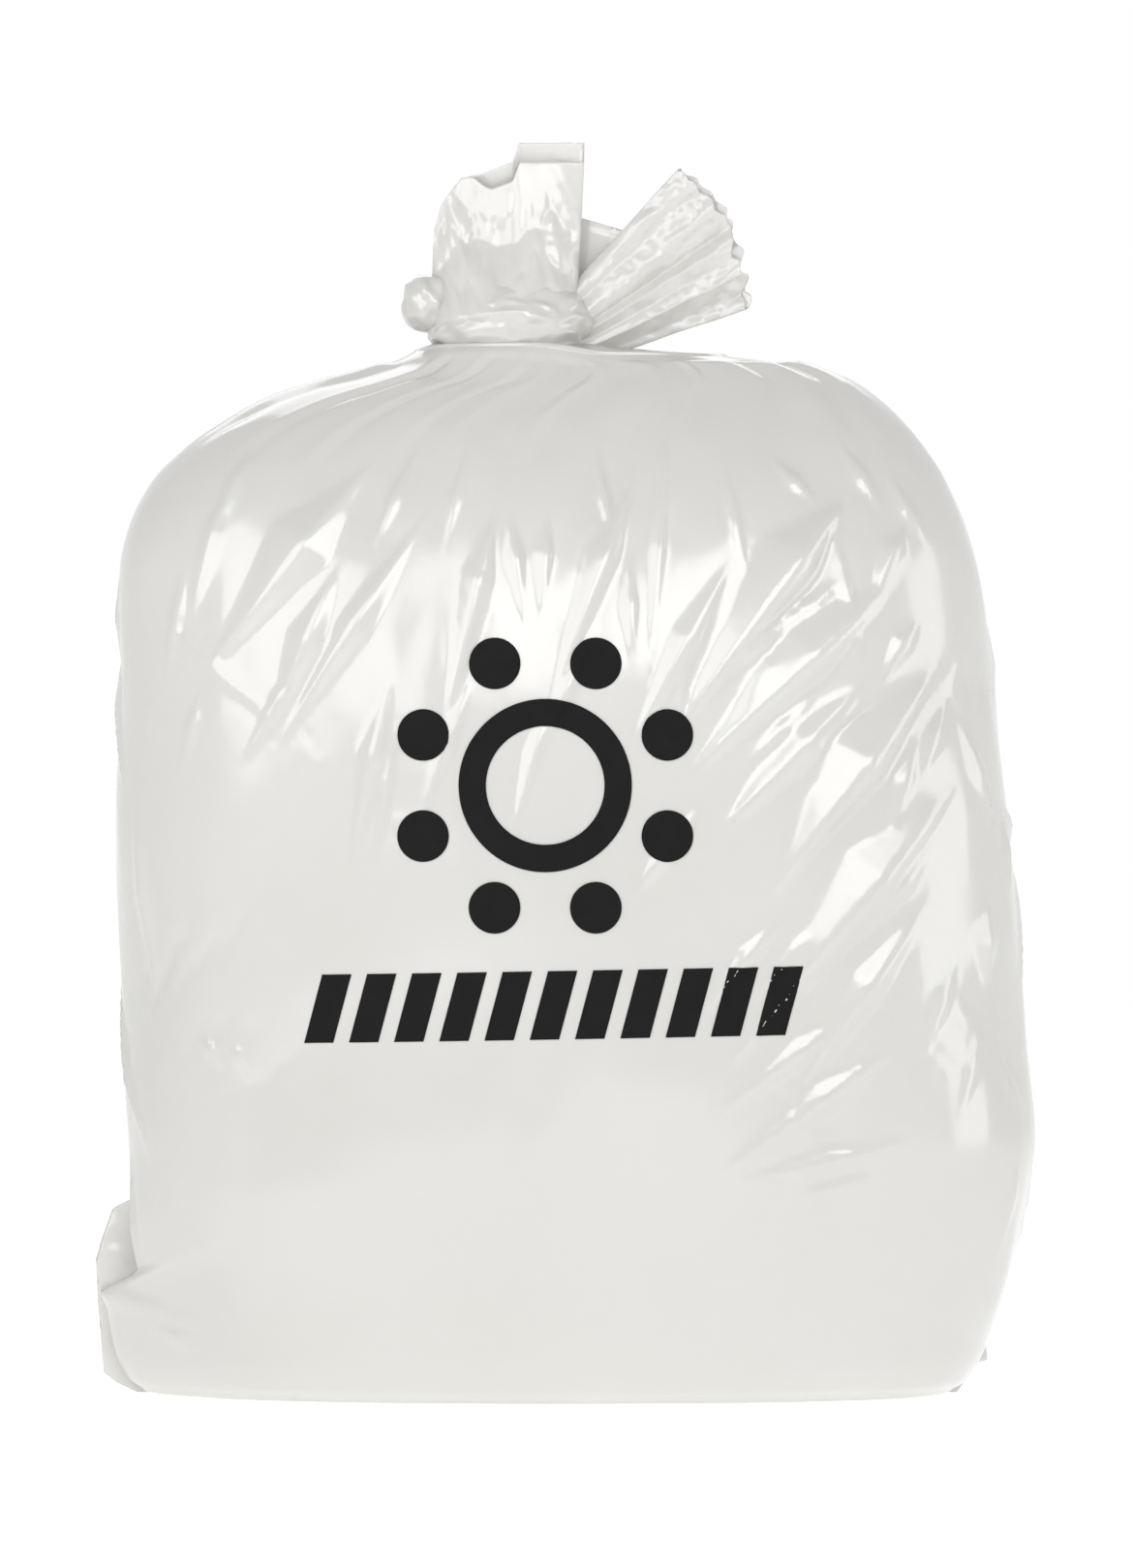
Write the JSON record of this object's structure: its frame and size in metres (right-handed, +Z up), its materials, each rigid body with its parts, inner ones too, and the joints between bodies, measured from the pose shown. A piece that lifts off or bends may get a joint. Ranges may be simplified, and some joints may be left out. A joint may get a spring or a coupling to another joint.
{
  "type": "clinical waste bag",
  "caption": "Filled bag of milky polyethylene film for clinical waste, standing on its base, its mouth tied in its own film with two ears of gathered film above the knot.",
  "frame": {"origin": "on the floor, under the middle of the bag's box", "axes": "+Z up from the base to the ears of film; the printed front faces -Y; +X is to the right of someone who looks at the printed front"},
  "size_m": [0.6336, 0.344, 0.842],
  "materials": {
    "film": "milky, slightly translucent low-density polyethylene film, glossy, creased"
  },
  "bodies": {
    "root": {"film_bag": "film"}
  },
  "joints": []
}
